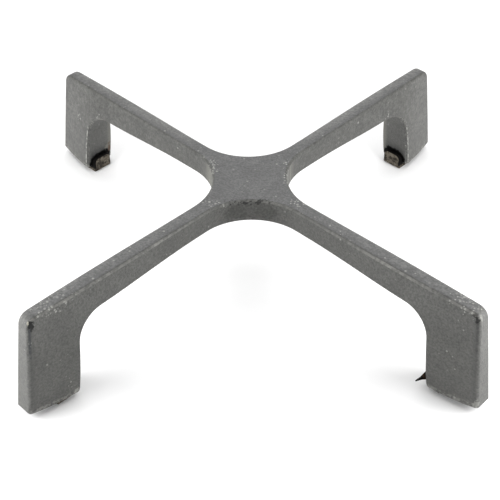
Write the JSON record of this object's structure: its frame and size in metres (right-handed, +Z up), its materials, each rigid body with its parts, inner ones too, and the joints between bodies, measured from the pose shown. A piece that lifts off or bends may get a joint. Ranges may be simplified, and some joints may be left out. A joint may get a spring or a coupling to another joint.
{
  "type": "hob pan support",
  "caption": "Cast cross-shaped support that holds a pan over a gas burner; the arms meet at a hub with hollowed sides and turn down into splayed legs on rubber feet.",
  "frame": {"origin": "centre of the support on the plane that the feet stand on", "axes": "+Z up, from the hob towards the pan; the arms point along the diagonals of +X and +Y, and -Y faces the viewer of the picture"},
  "size_m": [0.1748, 0.1748, 0.046],
  "materials": {
    "casting": "matt grey coating, worn pale along the edges",
    "foot": "black rubber, the inner end dusty brown-grey"
  },
  "bodies": {
    "root": {"support": "casting", "foot_front_left": "foot", "foot_front_right": "foot", "foot_back_left": "foot", "foot_back_right": "foot"}
  },
  "joints": []
}
